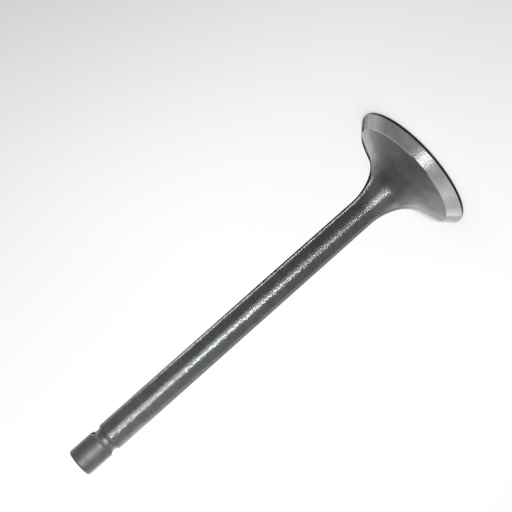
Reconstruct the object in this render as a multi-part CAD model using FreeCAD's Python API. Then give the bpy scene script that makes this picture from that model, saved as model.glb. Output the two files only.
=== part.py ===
# Poppet valve of a small four-stroke engine, turned from one forged blank.
# It stands on the flat combustion face of its head with the stem pointing up.
# Origin: centre of the combustion face. +Z: along the stem, towards the tip.
# All lengths are in millimetres and all angles in degrees.

import FreeCAD
import Part

import os
from math import acos, cos, degrees, radians, sin, tan

# Overall
overall_length = 105.0
stem_diameter = 7.0
head_diameter = 34.0

# Rim of the head
face_edge_break = 0.12
margin_height = 0.67
seat_face_width = 3.5
seat_angle = 45.0

# Tulip between the seat and the stem
underhead_angle = 24.0
lower_neck_radius = 10.4
upper_neck_radius = 16.0
neck_blend_angle = 26.7

# Keeper groove and tip
tip_land_length = 6.5
groove_depth = 0.54
groove_floor_width = 0.3
groove_floor_radius = 1.1
groove_shoulder_radius = 0.7
tip_edge_radius = 0.6

# Points closer than this are one point
same_point = 1e-6

stem_radius = stem_diameter / 2
head_radius = head_diameter / 2


def at(radius, height):
    """Point of the half section, given by its distance from the axis and its height."""
    return FreeCAD.Vector(radius, 0, height)


def across(angle):
    """Unit vector square to a wall that leans out from the axis by angle on its way down."""
    return at(cos(radians(angle)), sin(radians(angle)))


def corner(radius, height):
    """Sharp corner of the outline."""
    return [at(radius, height)]


def hollow(centre, radius, start_angle, end_angle):
    """Three points of a concave arc whose wall turns from start_angle to end_angle."""
    middle_angle = (start_angle + end_angle) / 2
    return [centre - across(angle) * radius for angle in (start_angle, middle_angle, end_angle)]


def rounding(centre, radius, start_angle, end_angle):
    """Three points of a convex arc, with the metal on the side of its centre."""
    return hollow(centre, -radius, start_angle, end_angle)


def rim():
    """Combustion face, thin cylindrical margin and the conical face that meets the seat."""
    seat_top_radius = head_radius - seat_face_width * sin(radians(seat_angle))
    seat_top_height = margin_height + seat_face_width * cos(radians(seat_angle))
    return [
        corner(0, 0),
        corner(head_radius - face_edge_break, 0),
        corner(head_radius, face_edge_break),
        corner(head_radius, margin_height),
        corner(seat_top_radius, seat_top_height),
    ]


def tulip(seat_top):
    """Shallow cone off the seat, then two tangent arcs that sweep up into the stem."""
    cone_lean = 90 - underhead_angle
    to_upper_arc = across(neck_blend_angle) * (upper_neck_radius - lower_neck_radius)

    # From the stem wall down to where the cone starts, with the heights still relative
    upper_centre = at(stem_radius + upper_neck_radius, 0)
    lower_centre = upper_centre - to_upper_arc
    cone_end = lower_centre - across(cone_lean) * lower_neck_radius
    cone_rise = (seat_top.x - cone_end.x) * tan(radians(underhead_angle))

    lift = at(0, seat_top.z + cone_rise - cone_end.z)
    return [
        hollow(lower_centre + lift, lower_neck_radius, cone_lean, neck_blend_angle),
        hollow(upper_centre + lift, upper_neck_radius, neck_blend_angle, 0),
    ]


def keeper_groove():
    """Rounded groove below the tip land, where the spring's split keepers grip."""
    arcs_radius = groove_floor_radius + groove_shoulder_radius
    flank_angle = degrees(acos(1 - groove_depth / arcs_radius))
    flank_height = arcs_radius * sin(radians(flank_angle))

    shoulder_centre = stem_radius - groove_shoulder_radius
    floor_centre = stem_radius - groove_depth + groove_floor_radius
    top = overall_length - tip_land_length
    floor_top = top - flank_height
    floor_bottom = floor_top - groove_floor_width
    bottom = floor_bottom - flank_height
    return [
        rounding(at(shoulder_centre, bottom), groove_shoulder_radius, 0, flank_angle),
        hollow(at(floor_centre, floor_bottom), groove_floor_radius, flank_angle, 0),
        hollow(at(floor_centre, floor_top), groove_floor_radius, 0, -flank_angle),
        rounding(at(shoulder_centre, top), groove_shoulder_radius, -flank_angle, 0),
    ]


def tip():
    """Rounded edge and the flat end that the rocker presses on."""
    edge_centre = at(stem_radius - tip_edge_radius, overall_length - tip_edge_radius)
    return [
        rounding(edge_centre, tip_edge_radius, 0, 90),
        corner(0, overall_length),
    ]


def closed_wire(stretches):
    """Corners and arcs in order, joined by straight lines, with the last joined to the first."""
    edges = []
    previous = stretches[-1][-1]
    for stretch in stretches:
        if not previous.isEqual(stretch[0], same_point):
            edges.append(Part.LineSegment(previous, stretch[0]).toShape())
        if len(stretch) == 3:
            edges.append(Part.Arc(*stretch).toShape())
        previous = stretch[-1]
    return Part.Wire(edges)


def make_valve():
    """The half section turned once about the axis."""
    rim_outline = rim()
    seat_top = rim_outline[-1][0]
    half_section = Part.Face(
        closed_wire(rim_outline + tulip(seat_top) + keeper_groove() + tip())
    )
    return half_section.revolve(at(0, 0), FreeCAD.Vector(0, 0, 1), 360)


def main():
    os.makedirs("parts", exist_ok=True)
    make_valve().exportStep("parts/valve.step")


main()
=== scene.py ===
from math import acos, cos, degrees, pi, radians, sin, tan

import bmesh
import bpy
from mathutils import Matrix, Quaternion, Vector


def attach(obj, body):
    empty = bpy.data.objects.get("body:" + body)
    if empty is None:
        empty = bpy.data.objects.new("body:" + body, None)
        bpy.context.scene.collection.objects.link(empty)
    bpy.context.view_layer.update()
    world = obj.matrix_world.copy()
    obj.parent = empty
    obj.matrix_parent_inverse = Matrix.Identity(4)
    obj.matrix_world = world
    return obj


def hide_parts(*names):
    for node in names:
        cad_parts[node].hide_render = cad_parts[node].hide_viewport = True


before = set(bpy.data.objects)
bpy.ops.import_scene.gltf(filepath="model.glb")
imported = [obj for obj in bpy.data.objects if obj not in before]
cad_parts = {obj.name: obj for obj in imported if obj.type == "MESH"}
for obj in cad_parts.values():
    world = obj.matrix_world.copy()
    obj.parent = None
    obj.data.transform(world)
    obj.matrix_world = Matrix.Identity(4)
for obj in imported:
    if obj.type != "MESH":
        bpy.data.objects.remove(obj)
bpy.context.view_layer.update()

# An engine valve that stands on its head, as one turned piece in dark steel, and the studio and
# camera of its photograph. The scene is in metres
MM = 0.001

# Sizes of the valve, in millimetres and degrees, as in the part's source
overall_length = 105.0
stem_radius = 3.5
head_radius = 17.0
face_edge_break = 0.12
margin_height = 0.67
seat_face_width = 3.5
seat_angle = 45.0
underhead_angle = 24.0
lower_neck_radius = 10.4
upper_neck_radius = 16.0
neck_blend_angle = 26.7
tip_land_length = 6.5
groove_depth = 0.54
groove_floor_width = 0.3
groove_floor_radius = 1.1
groove_shoulder_radius = 0.7
tip_edge_radius = 0.6

seat_top_radius = head_radius - seat_face_width * sin(radians(seat_angle))
seat_top_height = margin_height + seat_face_width * cos(radians(seat_angle))
groove_arcs_radius = groove_floor_radius + groove_shoulder_radius
flank_angle = degrees(acos(1 - groove_depth / groove_arcs_radius))
flank_height = groove_arcs_radius * sin(radians(flank_angle))
groove_top = overall_length - tip_land_length
groove_bottom = groove_top - 2 * flank_height - groove_floor_width

# Fineness of the turned mesh: steps around the axis and pieces of each arc. Edges that turn
# by more than the sharp angle, in degrees, are shaded as corners
SEGMENTS = 360
LOWER_NECK_PIECES = 40
UPPER_NECK_PIECES = 30
GROOVE_PIECES = 8
TIP_PIECES = 10
SHARP_ANGLE = 20


# Objects

def added(name, data):
    """A new object in the scene."""
    thing = bpy.data.objects.new(name, data)
    bpy.context.collection.objects.link(thing)
    return thing


def added_mesh(name, mesh):
    """A new object that takes over the mesh under construction."""
    data = bpy.data.meshes.new(name)
    mesh.to_mesh(data)
    mesh.free()
    return added(name, data)


def aim_at(thing, place, aim, roll=0.0):
    """Puts a camera, lamp or card at a place, facing its aim, rolled about that line."""
    thing.location = place
    thing.rotation_mode = "QUATERNION"
    level = (Vector(aim) - Vector(place)).to_track_quat("-Z", "Y")
    thing.rotation_quaternion = level @ Quaternion((0, 0, 1), radians(roll))


# Shape of the valve

def across(angle):
    """Unit vector square to a wall that leans out from the axis by angle on its way down."""
    return Vector((cos(radians(angle)), sin(radians(angle))))


def hollow(centre, radius, start_angle, end_angle, pieces):
    """Points of a concave arc, as (radius, height)."""
    turn = (end_angle - start_angle) / pieces
    return [centre - across(start_angle + turn * n) * radius for n in range(pieces + 1)]


def rounding(centre, radius, start_angle, end_angle, pieces):
    """Points of a convex arc."""
    return hollow(centre, -radius, start_angle, end_angle, pieces)


def rim():
    """Combustion face, thin cylindrical margin and the conical face that meets the seat."""
    return [
        Vector((0, 0)),
        Vector((head_radius - face_edge_break, 0)),
        Vector((head_radius, face_edge_break)),
        Vector((head_radius, margin_height)),
        Vector((seat_top_radius, seat_top_height)),
    ]


def tulip():
    """Shallow cone off the seat, then two tangent arcs that sweep up into the stem."""
    cone_lean = 90 - underhead_angle
    to_upper_arc = across(neck_blend_angle) * (upper_neck_radius - lower_neck_radius)
    upper_centre = Vector((stem_radius + upper_neck_radius, 0))
    lower_centre = upper_centre - to_upper_arc
    cone_end = lower_centre - across(cone_lean) * lower_neck_radius
    cone_rise = (seat_top_radius - cone_end.x) * tan(radians(underhead_angle))
    lift = Vector((0, seat_top_height + cone_rise - cone_end.y))
    lower_arc = hollow(
        lower_centre + lift, lower_neck_radius, cone_lean, neck_blend_angle, LOWER_NECK_PIECES
    )
    upper_arc = hollow(
        upper_centre + lift, upper_neck_radius, neck_blend_angle, 0, UPPER_NECK_PIECES
    )
    return lower_arc + upper_arc[1:]


def keeper_groove():
    """Rounded groove below the tip land, with rounded shoulders."""
    shoulder_x = stem_radius - groove_shoulder_radius
    floor_x = stem_radius - groove_depth + groove_floor_radius
    low_shoulder = Vector((shoulder_x, groove_bottom))
    low_floor = Vector((floor_x, groove_bottom + flank_height))
    high_floor = Vector((floor_x, groove_top - flank_height))
    high_shoulder = Vector((shoulder_x, groove_top))
    return (
        rounding(low_shoulder, groove_shoulder_radius, 0, flank_angle, GROOVE_PIECES)
        + hollow(low_floor, groove_floor_radius, flank_angle, 0, GROOVE_PIECES)[1:]
        + hollow(high_floor, groove_floor_radius, 0, -flank_angle, GROOVE_PIECES)
        + rounding(high_shoulder, groove_shoulder_radius, -flank_angle, 0, GROOVE_PIECES)[1:]
    )


def tip():
    """Rounded edge and the flat end that the rocker presses on."""
    edge_centre = Vector((stem_radius - tip_edge_radius, overall_length - tip_edge_radius))
    end_centre = Vector((0, overall_length))
    return rounding(edge_centre, tip_edge_radius, 0, 90, TIP_PIECES) + [end_centre]


def turned(name, outline):
    """A closed mesh: the outline, which starts and ends on the axis, turned once about it."""
    mesh = bmesh.new()
    bottom = mesh.verts.new((0, 0, outline[0].y * MM))
    top = mesh.verts.new((0, 0, outline[-1].y * MM))
    rings = [[bottom] * SEGMENTS]
    for point in outline[1:-1]:
        ring = []
        for n in range(SEGMENTS):
            angle = 2 * pi * n / SEGMENTS
            place = Vector((point.x * cos(angle), point.x * sin(angle), point.y))
            ring.append(mesh.verts.new(place * MM))
        rings.append(ring)
    rings.append([top] * SEGMENTS)
    for lower, upper in zip(rings, rings[1:]):
        for n in range(SEGMENTS):
            following = (n + 1) % SEGMENTS
            corners = [lower[n], lower[following], upper[following], upper[n]]
            mesh.faces.new(dict.fromkeys(corners))
    piece = added_mesh(name, mesh)
    for face in piece.data.polygons:
        face.use_smooth = True
    piece.data.set_sharp_from_angle(angle=radians(SHARP_ANGLE))
    return piece


# Shader nodes

class Nodes:
    """Short calls for the nodes of one material or world. A value is a number or a socket."""

    def __init__(self, owner):
        owner.use_nodes = True
        self.tree = owner.node_tree
        self.tree.nodes.clear()

    def add(self, kind, **settings):
        node = self.tree.nodes.new(kind)
        for name, value in settings.items():
            setattr(node, name, value)
        return node

    def feed(self, socket, value):
        if isinstance(value, bpy.types.NodeSocket):
            self.tree.links.new(value, socket)
        else:
            socket.default_value = value

    def output(self, kind, shader):
        self.feed(self.add(kind).inputs["Surface"], shader)

    def math(self, operation, first, second):
        node = self.add("ShaderNodeMath", operation=operation)
        self.feed(node.inputs[0], first)
        self.feed(node.inputs[1], second)
        return node.outputs[0]

    def times(self, first, second):
        return self.math("MULTIPLY", first, second)

    def vector(self, operation, first, second=(0, 0, 0)):
        node = self.add("ShaderNodeVectorMath", operation=operation)
        self.feed(node.inputs[0], first)
        self.feed(node.inputs[1], second)
        return node.outputs["Value" if operation in ("DOT_PRODUCT", "LENGTH") else "Vector"]

    def scaled(self, vector, factor):
        node = self.add("ShaderNodeVectorMath", operation="SCALE")
        self.feed(node.inputs[0], vector)
        self.feed(node.inputs["Scale"], factor)
        return node.outputs["Vector"]

    def split(self, vector):
        node = self.add("ShaderNodeSeparateXYZ")
        self.feed(node.inputs[0], vector)
        return node.outputs

    def ramp(self, value, start, end, low=0.0, high=1.0):
        """Goes smoothly from low to high while value goes from start to end."""
        node = self.add("ShaderNodeMapRange", interpolation_type="SMOOTHSTEP")
        self.feed(node.inputs["Value"], value)
        self.feed(node.inputs["From Min"], start)
        self.feed(node.inputs["From Max"], end)
        self.feed(node.inputs["To Min"], low)
        self.feed(node.inputs["To Max"], high)
        return node.outputs["Result"]

    def band(self, value, low, high, softness):
        """1 between low and high, with soft borders, and 0 outside."""
        above_low = self.ramp(value, low - softness, low + softness)
        below_high = self.ramp(value, high - softness, high + softness, 1.0, 0.0)
        return self.times(above_low, below_high)

    def noise(self, vector, scale, detail):
        node = self.add("ShaderNodeTexNoise")
        self.feed(node.inputs["Vector"], vector)
        self.feed(node.inputs["Scale"], scale)
        self.feed(node.inputs["Detail"], detail)
        return node.outputs["Fac"]

    def mix(self, factor, first, second):
        """Mixes numbers, which have sockets 2 and 3 of the node."""
        node = self.add("ShaderNodeMix", data_type="FLOAT")
        self.feed(node.inputs[0], factor)
        self.feed(node.inputs[2], first)
        self.feed(node.inputs[3], second)
        return node.outputs[0]

    def mix_colour(self, factor, first, second):
        """Mixes colours, which have sockets 6 and 7 of the node."""
        node = self.add("ShaderNodeMix", data_type="RGBA")
        self.feed(node.inputs[0], factor)
        self.feed(node.inputs[6], first)
        self.feed(node.inputs[7], second)
        return node.outputs[2]


# Finish of the steel. Heights and softnesses are in millimetres

# One stretch of the valve after another from the face to the tip: top height, softness of the
# border, reflectance, roughness and grain
STRETCHES = [
    (face_edge_break / 2, 0.02, 0.20, 0.40, 0.3),
    (margin_height, 0.02, 0.035, 0.60, 0.3),
    (seat_top_height, 0.03, 0.34, 0.24, 0.32),
    (5.3, 1.0, 0.160, 0.38, 0.3),
    (7.2, 0.8, 0.135, 0.62, 0.3),
    # The stretch up to 9.7 mm is darker, partly its rough forged finish and partly painted shade
    # above the neck's glint
    (9.7, 0.6, 0.105, 0.58, 0.3),
    (22.0, 3.0, 0.165, 0.16, 0.95),
    (60.0, 18.0, 0.165, 0.17, 0.85),
    (groove_bottom, 0.15, 0.18, 0.17, 0.7),
    # The lower flank of the keeper groove is darker: painted shade where it turns away from the
    # light
    (groove_bottom + 1.0, 0.15, 0.14, 0.50, 0.5),
    (groove_top, 0.15, 0.20, 0.42, 0.5),
    (overall_length - 0.25, 0.05, 0.165, 0.48, 0.5),
    # A nearly black band on the tip's rounded edge: a painted dark line where the edge turns away
    (overall_length - 0.03, 0.02, 0.03, 0.45, 0.4),
    (None, None, 0.24, 0.35, 0.5),
]

# Line between the seat and the tulip: partly wear, with a painted highlight on one side of the
# head and painted shade next to it. A side is a direction square to the axis, and the two cosines
# between which its mask rises
EDGE_LOW = seat_top_height - 0.17
EDGE_HIGH = seat_top_height + 0.03
EDGE_SOFTNESS = 0.02
WEAR_AND_HIGHLIGHT_SIDE = ((0.56, -0.83, 0.0), 0.80, 0.93)
WEAR_AND_HIGHLIGHT_TONE = 0.5
PAINTED_SHADE_SIDE = ((-0.05, -1.0, 0.0), 0.975, 0.99)
PAINTED_SHADE_TONE = 0.05

# Where the margin is lighter and smoother, on one side of the head
LIGHT_MARGIN_SIDE = ((-0.97, 0.24, 0.0), 0.72, 0.92)
LIGHT_MARGIN_SOFTNESS = 0.04
LIGHT_MARGIN_TONE = 0.34
LIGHT_MARGIN_ROUGHNESS = 0.35

# The flare of the tulip gets painted shade on one side and a painted reflection on both sides of
# that, and is a little brighter behind. The last three values multiply its reflectance
FLARE_LOW = 5.6
FLARE_HIGH = 9.5
FLARE_SOFTNESS = 0.7
FLARE_PAINTED_SHADE_SIDE = ((0.05, -0.999, 0.0), 0.55, 1.03)
FLARE_FRONT_SIDE = ((0.05, -0.999, 0.0), -0.5, 0.1)
FLARE_PAINTED_SHADE = 0.72
FLARE_PAINTED_REFLECTION = 1.85
FLARE_PLAIN = 1.25

# Blotches and speckles of the reflectance: noise cells to a millimetre, detail, the range of the
# noise that is spread over the contrast, and the contrast
BLOTCHES = 0.35
BLOTCH_DETAIL = 3.0
BLOTCH_RANGE = (0.25, 0.75)
BLOTCH_CONTRAST = 0.12
SPECKLES = 3.6
SPECKLE_DETAIL = 1.0
SPECKLE_RANGE = (0.3, 0.7)
SPECKLE_CONTRAST = 0.16

# Pits: cells to a millimetre, the share of cells that have none, a pit's soft edge as distances
# from its middle in cells, and what it leaves of the reflectance
PIT_CELLS = 0.33
PIT_RARITY = (0.60, 0.62)
PIT_EDGE = (0.04, 0.08)
PIT_TONE = 0.15

# Casts of the steel: greenish to bluish from one blotch to the next, warm on seat and margin
GREENISH = (0.955, 1.0, 0.965, 1)
BLUISH = (0.95, 0.985, 1.0, 1)
WARM = (1.0, 0.998, 0.967, 1)
CAST_BLOTCHES = 0.22
CAST_DETAIL = 2.0
CAST_RANGE = (0.35, 0.65)
CAST_SOFTNESS = 0.1

# Relief of the grain: noise cells to a millimetre, detail, and depth in metres
GRAIN_CELLS = 3.4
GRAIN_DETAIL = 0.0
GRAIN_DEPTH = 0.06 * MM

# Between these two values of Layer Weight's facing the steel gets glossier and its grain fades
GLANCING = (0.42, 0.66)
GLANCING_ROUGHNESS = 0.14
GLANCING_GRAIN = 0.2


def stretch_finish(nodes, height):
    """Reflectance, roughness and grain at a height."""
    finish = STRETCHES[0][2:]
    for below, stretch in zip(STRETCHES, STRETCHES[1:]):
        border, softness = below[:2]
        above = nodes.ramp(height, border - softness, border + softness)
        finish = [nodes.mix(above, old, new) for old, new in zip(finish, stretch[2:])]
    return finish


def side_mask(nodes, place, side):
    """0 to 1 as a place comes round the axis towards a side."""
    direction, start, end = side
    around = nodes.vector("NORMALIZE", nodes.vector("MULTIPLY", place, (1, 1, 0)))
    return nodes.ramp(nodes.vector("DOT_PRODUCT", around, direction), start, end)


def worn_edge_and_painted_light(nodes, place, height, tone):
    """Reflectance with the line between seat and tulip: wear with a painted highlight on one
    side, and painted shade next to it.
    """
    edge = nodes.band(height, EDGE_LOW, EDGE_HIGH, EDGE_SOFTNESS)
    wear_and_highlight = nodes.times(edge, side_mask(nodes, place, WEAR_AND_HIGHLIGHT_SIDE))
    painted_shade = nodes.times(edge, side_mask(nodes, place, PAINTED_SHADE_SIDE))
    return nodes.mix(painted_shade, nodes.mix(wear_and_highlight, tone, WEAR_AND_HIGHLIGHT_TONE), PAINTED_SHADE_TONE)


def flare_painted_light(nodes, place, height):
    """Factor of the reflectance on the flare, by the side of the valve: painted shade on one
    side, a painted reflection beside it.
    """
    flare = nodes.band(height, FLARE_LOW, FLARE_HIGH, FLARE_SOFTNESS)
    front = side_mask(nodes, place, FLARE_FRONT_SIDE)
    painted_shade = side_mask(nodes, place, FLARE_PAINTED_SHADE_SIDE)
    around = nodes.mix(painted_shade, nodes.mix(front, FLARE_PLAIN, FLARE_PAINTED_REFLECTION), FLARE_PAINTED_SHADE)
    return nodes.mix(flare, 1.0, around)


def mottled(nodes, place, tone, grain):
    """Reflectance with blotches, and with speckles where the steel is grainy."""
    blotches = nodes.ramp(
        nodes.noise(place, BLOTCHES, BLOTCH_DETAIL),
        *BLOTCH_RANGE, 1 - BLOTCH_CONTRAST, 1 + BLOTCH_CONTRAST
    )
    speckles = nodes.ramp(
        nodes.noise(place, SPECKLES, SPECKLE_DETAIL),
        *SPECKLE_RANGE, -SPECKLE_CONTRAST, SPECKLE_CONTRAST
    )
    speckles = nodes.math("ADD", 1.0, nodes.times(speckles, grain))
    return nodes.times(nodes.times(tone, blotches), speckles)


def pits(nodes, place):
    """1 in the middle of a pit and 0 between the pits."""
    cells = nodes.add("ShaderNodeTexVoronoi")
    nodes.feed(cells.inputs["Vector"], place)
    nodes.feed(cells.inputs["Scale"], PIT_CELLS)
    rare = nodes.ramp(nodes.split(cells.outputs["Color"])["X"], *PIT_RARITY)
    return nodes.times(rare, nodes.ramp(cells.outputs["Distance"], *PIT_EDGE, 1.0, 0.0))


def cast_colour(nodes, place, height):
    """Faint cast of the steel."""
    blotches = nodes.ramp(nodes.noise(place, CAST_BLOTCHES, CAST_DETAIL), *CAST_RANGE)
    seat = nodes.ramp(height, EDGE_HIGH, EDGE_HIGH + CAST_SOFTNESS, 1.0, 0.0)
    return nodes.mix_colour(seat, nodes.mix_colour(blotches, GREENISH, BLUISH), WARM)


def grain_relief(nodes, place, pit, strength):
    """Normals of the fine grain and the pits."""
    fine = nodes.math("SUBTRACT", nodes.noise(place, GRAIN_CELLS, GRAIN_DETAIL), pit)
    bump = nodes.add("ShaderNodeBump")
    nodes.feed(bump.inputs["Height"], fine)
    nodes.feed(bump.inputs["Strength"], strength)
    nodes.feed(bump.inputs["Distance"], GRAIN_DEPTH)
    return bump.outputs[0]


def steel():
    """Dark forged and ground steel, bright on the seat, with painted shade and painted highlights
    near it.
    """
    material = bpy.data.materials.new("valve_steel")
    nodes = Nodes(material)
    place = nodes.scaled(nodes.add("ShaderNodeTexCoord").outputs["Object"], 1 / MM)
    height = nodes.split(place)["Z"]
    tone, roughness, grain = stretch_finish(nodes, height)
    # Painted highlight and painted shade on the line between seat and tulip
    tone = worn_edge_and_painted_light(nodes, place, height, tone)

    margin = nodes.ramp(height, margin_height, margin_height + LIGHT_MARGIN_SOFTNESS, 1.0, 0.0)
    light_margin = nodes.times(margin, side_mask(nodes, place, LIGHT_MARGIN_SIDE))
    tone = nodes.mix(light_margin, tone, LIGHT_MARGIN_TONE)
    roughness = nodes.mix(light_margin, roughness, LIGHT_MARGIN_ROUGHNESS)

    pit = pits(nodes, place)
    # Painted shade and painted reflection on the flare
    tone = nodes.times(tone, flare_painted_light(nodes, place, height))
    tone = mottled(nodes, place, tone, grain)
    tone = nodes.times(tone, nodes.ramp(pit, 0.0, 1.0, 1.0, PIT_TONE))

    glancing = nodes.ramp(nodes.add("ShaderNodeLayerWeight").outputs["Facing"], *GLANCING)
    roughness = nodes.mix(glancing, roughness, GLANCING_ROUGHNESS)
    relief = grain_relief(nodes, place, pit, nodes.mix(glancing, grain, GLANCING_GRAIN))

    shader = nodes.add("ShaderNodeBsdfPrincipled")
    nodes.feed(shader.inputs["Base Color"], nodes.scaled(cast_colour(nodes, place, height), tone))
    nodes.feed(shader.inputs["Metallic"], 1.0)
    nodes.feed(shader.inputs["Roughness"], roughness)
    nodes.feed(shader.inputs["Normal"], relief)
    nodes.output("ShaderNodeOutputMaterial", shader.outputs[0])
    return material


# Camera, at the photograph's viewing angle: places and clip distances in metres, roll in
# degrees, lens and sensor in millimetres
CAMERA_AT = Vector((0, -233.6, 77.6)) * MM
CAMERA_AIM = Vector((8.94, 0, 42.97)) * MM
CAMERA_ROLL = -131.27
LENS = 70.3
SENSOR = 36
CLIP_START = 0.01
CLIP_END = 20


def add_camera():
    """Looks at the valve, which lies aslant in the picture because the camera is rolled."""
    data = bpy.data.cameras.new("camera")
    data.lens = LENS
    data.sensor_width = SENSOR
    data.clip_start = CLIP_START
    data.clip_end = CLIP_END
    camera = added("camera", data)
    aim_at(camera, CAMERA_AT, CAMERA_AIM, CAMERA_ROLL)
    bpy.context.scene.camera = camera


# World, by direction. On the camera's side it gets lighter upwards, with a lighter strip above
# the horizon, and is darker on one side. It is even high up, and lighter again far down. A
# range gives the two heights, or the two parts of the direction, between which it changes
FRONT_RISE = (-0.25, 0.15)
FRONT_LOW_LEVEL = 0.46
FRONT_LEVEL = 0.70
STRIP_START = (0.03, 0.13)
STRIP_END = (0.18, 0.35)
STRIP_LEVEL = 0.20
DARK_SIDE = (-0.1, 0.5)
DARK_SIDE_SHADE = 0.62
HIGH_RANGE = (0.30, 0.55)
HIGH_LEVEL = 0.50
DEEP_RANGE = (-0.75, -0.4)
DEEP_LEVEL = 0.85

# Behind the valve it is white, shaded high up and in three directions. The camera's side turns
# into it between the two depths, and the overhead shade lies on both
BACK_HIGH = (0.30, 0.75)
BACK_HIGH_SHADE = 0.62
BACK_DEPTH = (0.40, 0.95)

# A shade: its direction, the two cosines between which it deepens, and what it leaves of white
TOP_EDGE_SHADE = ((0.561, 0.242, -0.792), 0.36, 0.885, 0.53)
TOP_LEFT_SHADE = ((0.946, 0.310, 0.093), 0.35, 0.84, 0.55)
LOW_RIGHT_SHADE = ((-0.65, 0.73, -0.20), 0.90, 0.98, 0.68)
OVERHEAD_SHADE = ((0.0, 0.4, 0.917), 0.85, 1.0, 0.75)


def shaded(nodes, light, direction, shade):
    """The light with one shade laid over it."""
    towards, start, end, left_over = shade
    nearness = nodes.vector("DOT_PRODUCT", direction, towards)
    return nodes.times(light, nodes.ramp(nearness, start, end, 1.0, left_over))


def front_light(nodes, side, height):
    """Light grey world on the camera's side."""
    strip = nodes.times(
        nodes.ramp(height, *STRIP_START), nodes.ramp(height, *STRIP_END, 1.0, 0.0)
    )
    light = nodes.ramp(height, *FRONT_RISE, FRONT_LOW_LEVEL, FRONT_LEVEL)
    light = nodes.math("ADD", light, nodes.times(strip, STRIP_LEVEL))
    light = nodes.times(light, nodes.ramp(side, *DARK_SIDE, 1.0, DARK_SIDE_SHADE))
    light = nodes.mix(nodes.ramp(height, *HIGH_RANGE), light, HIGH_LEVEL)
    return nodes.mix(nodes.ramp(height, *DEEP_RANGE, 1.0, 0.0), light, DEEP_LEVEL)


def add_world():
    """White behind the valve with softly shaded corners, and light grey on the camera's side."""
    world = bpy.data.worlds.new("studio")
    bpy.context.scene.world = world
    nodes = Nodes(world)
    direction = nodes.add("ShaderNodeTexCoord").outputs["Generated"]
    side, depth, height = nodes.split(direction)
    back = nodes.ramp(height, *BACK_HIGH, 1.0, BACK_HIGH_SHADE)
    for shade in (TOP_EDGE_SHADE, TOP_LEFT_SHADE, LOW_RIGHT_SHADE):
        back = shaded(nodes, back, direction, shade)
    front = front_light(nodes, side, height)
    light = nodes.mix(nodes.ramp(depth, *BACK_DEPTH), front, back)
    background = nodes.add("ShaderNodeBackground")
    nodes.feed(background.inputs["Color"], shaded(nodes, light, direction, OVERHEAD_SHADE))
    nodes.output("ShaderNodeOutputWorld", background.outputs[0])


# Floor: a pale disc just under the valve, in metres. It fades out between two radii and is a
# little lighter to camera, glossy and transmission rays, so that it meets the backdrop
FLOOR_RADIUS = 0.06
FLOOR_SEGMENTS = 128
FLOOR_DROP = 0.00002
FLOOR_FADE = (0.008, 0.036)
FLOOR_COLOUR = (0.92, 0.92, 0.92, 1)
FLOOR_LIFT = 0.06


def add_floor():
    """A pale round patch under the valve that fades into the backdrop."""
    mesh = bmesh.new()
    bmesh.ops.create_circle(mesh, cap_ends=True, segments=FLOOR_SEGMENTS, radius=FLOOR_RADIUS)
    floor = added_mesh("floor", mesh)
    floor.location.z = -FLOOR_DROP

    material = bpy.data.materials.new("floor_white")
    nodes = Nodes(material)
    diffuse = nodes.add("ShaderNodeBsdfDiffuse")
    nodes.feed(diffuse.inputs["Color"], FLOOR_COLOUR)
    rays = nodes.add("ShaderNodeLightPath").outputs
    seen = nodes.math("ADD", rays["Is Camera Ray"], rays["Is Glossy Ray"])
    seen = nodes.math("ADD", seen, rays["Is Transmission Ray"])
    glow = nodes.add("ShaderNodeEmission")
    nodes.feed(glow.inputs["Strength"], nodes.times(seen, FLOOR_LIFT))
    pale = nodes.add("ShaderNodeAddShader")
    nodes.feed(pale.inputs[0], diffuse.outputs[0])
    nodes.feed(pale.inputs[1], glow.outputs[0])
    clear = nodes.add("ShaderNodeBsdfTransparent")
    reach = nodes.vector("LENGTH", nodes.add("ShaderNodeTexCoord").outputs["Object"])
    blend = nodes.add("ShaderNodeMixShader")
    nodes.feed(blend.inputs[0], nodes.ramp(reach, *FLOOR_FADE))
    nodes.feed(blend.inputs[1], pale.outputs[0])
    nodes.feed(blend.inputs[2], clear.outputs[0])
    nodes.output("ShaderNodeOutputMaterial", blend.outputs[0])
    floor.data.materials.append(material)


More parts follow.
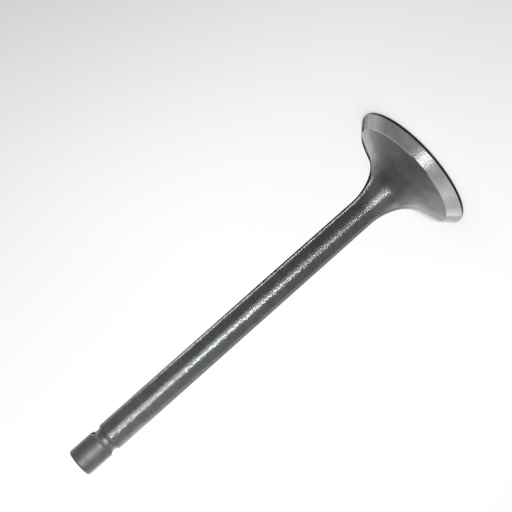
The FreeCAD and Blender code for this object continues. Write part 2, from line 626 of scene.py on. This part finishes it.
# Lamps: place, aim, width and height in metres, roll in degrees, and radiance
LAMPS = {
    "key_low": ((-0.066, -0.30, -0.045), (0, 0, 0.02), 0.045, 0.08, -15.0, 1.9),
    "key": ((-0.050, -0.30, 0.045), (0, 0, 0.06), 0.023, 0.10, -27.0, 18.0),
    "key_high": ((0.018, -0.30, 0.145), (0, 0, 0.06), 0.038, 0.10, -30.0, 1.8),
    "key_halo": ((0.000, -0.31, 0.090), (0, 0, 0.06), 0.24, 0.24, 0.0, 1.1),
    "neck_light": ((-0.056, -0.235, 0.183), (0, -0.005, 0.01), 0.022, 0.09, 0.0, 19.0),
    "seat_light": ((-0.009, -0.093, 0.285), (0, -0.01, 0.002), 0.057, 0.08, 0.0, 5.4),
    "right_fill": ((-0.180, -0.040, 0.290), (0, 0, 0.01), 0.25, 0.20, 0.0, 0.4),
    "right_soft": ((-0.35, 0.19, 0.30), (0, 0, 0.01), 0.45, 0.45, 0.0, 0.6),
    "right_low": ((-0.312, 0.159, 0.0), (0, 0, 0.02), 0.12, 0.24, 0.0, 0.6),
    "rear_right": ((-0.18, 0.31, 0.24), (0, 0, 0.01), 0.28, 0.32, 0.0, 0.4),
    "rear_right_low": ((-0.06, 0.415, 0.03), (0, 0, 0.01), 0.10, 0.14, 0.0, 0.4),
    "rear_left": ((0.0855, 0.397, 0.110), (0, 0, 0.01), 0.15, 0.16, 0.0, 0.38),
    "rear_left_high": ((0.150, 0.34, 0.18), (0, 0, 0.01), 0.18, 0.17, 0.0, 0.43),
    "left_soft": ((0.290, 0.240, 0.135), (0, 0, 0.005), 0.22, 0.17, 0.0, 0.33),
    "left_above": ((0.2102, 0.2102, 0.2727), (0, 0, 0.005), 0.17, 0.17, 0.0, 0.42),
    "above": ((0.060, 0.175, 0.360), (0, 0, 0.005), 0.24, 0.20, 0.0, 0.18),
    "right_front": ((-0.3411, 0.0602, 0.205), (0, 0, 0.005), 0.17, 0.17, 0.0, 0.2),
    "left_strip": ((0.3095, 0.163, -0.01), (0, 0, 0.03), 0.056, 0.20, 0.0, 5.0),
    "left_high": ((0.28, 0.20, 0.14), (0, 0, 0.10), 0.06, 0.06, 0.0, 0.25),
}


def add_lamp(name, place, aim, width, height, roll, radiance):
    """A rectangular lamp. Its power is what gives that radiance over its area."""
    data = bpy.data.lights.new(name, "AREA")
    data.shape = "RECTANGLE"
    data.size = width
    data.size_y = height
    data.energy = radiance * pi * width * height
    lamp = added(name, data)
    aim_at(lamp, place, aim, roll)
    lamp.visible_camera = False


# Dark cards that the edges of the stem reflect: place, aim, width and height in metres
CARDS = {
    "left_card": ((0.2365, 0.258, -0.085), (0, 0, -0.03), 0.181, 0.23),
    "rear_card": ((0.091, 0.338, -0.097), (0, 0, -0.03), 0.16, 0.206),
}
BLACK = (0, 0, 0, 1)


def add_card(name, place, aim, width, height):
    """A black card, one metre square before it is scaled, that only reflections show."""
    mesh = bmesh.new()
    bmesh.ops.create_grid(mesh, x_segments=1, y_segments=1, size=0.5)
    card = added_mesh(name, mesh)
    card.scale = (width, height, 1)
    aim_at(card, place, aim)
    card.visible_camera = False
    card.visible_shadow = False
    card.visible_diffuse = False
    material = bpy.data.materials.new(name)
    nodes = Nodes(material)
    matt = nodes.add("ShaderNodeBsdfDiffuse")
    nodes.feed(matt.inputs["Color"], BLACK)
    nodes.output("ShaderNodeOutputMaterial", matt.outputs[0])
    card.data.materials.append(material)


add_camera()
add_world()
add_floor()
for lamp_name, lamp_values in LAMPS.items():
    add_lamp(lamp_name, *lamp_values)
for card_name, card_values in CARDS.items():
    add_card(card_name, *card_values)

valve = turned("valve_body", rim() + tulip() + keeper_groove() + tip())
valve.data.materials.append(steel())
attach(valve, "root")
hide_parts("valve")

bpy.context.scene.view_settings.view_transform = "Standard"
